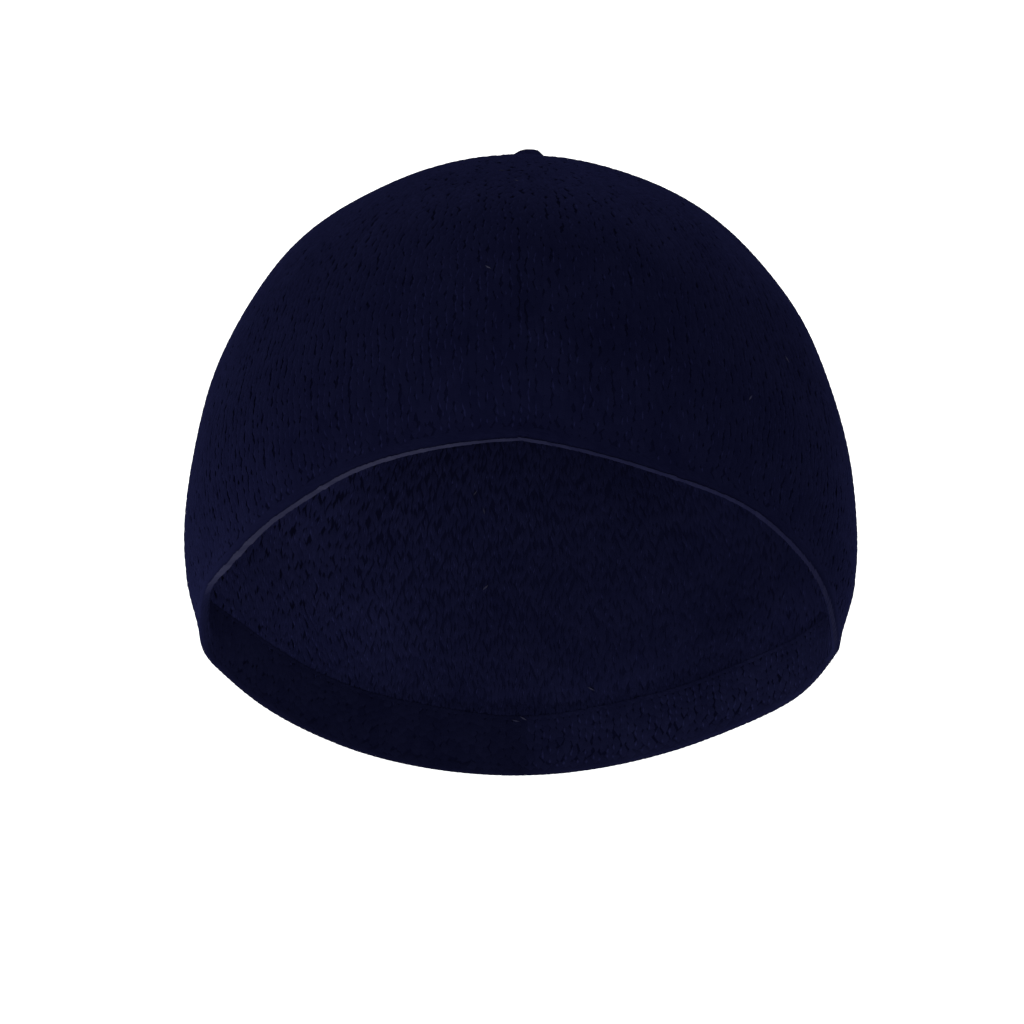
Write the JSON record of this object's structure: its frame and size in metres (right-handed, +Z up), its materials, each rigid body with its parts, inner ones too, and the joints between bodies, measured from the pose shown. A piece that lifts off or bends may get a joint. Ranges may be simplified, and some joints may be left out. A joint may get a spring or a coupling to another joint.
{
  "type": "knitted kufi cap",
  "caption": "Soft knitted skull cap with a rounded crown, gathered tip and turned-in hem, lying on its back with its opening to the front.",
  "frame": {"origin": "on the floor under the middle of the cap's box", "axes": "+Z up from the floor, -Y out of the opening, +Y toward the crown tip, +X across the cap to the right"},
  "size_m": [0.1826, 0.1722, 0.1479],
  "materials": {
    "navy_knit": "dark navy jersey knit, matt with a soft fuzz"
  },
  "bodies": {
    "root": {"crown": "navy_knit", "hem_band": "navy_knit"}
  },
  "joints": []
}
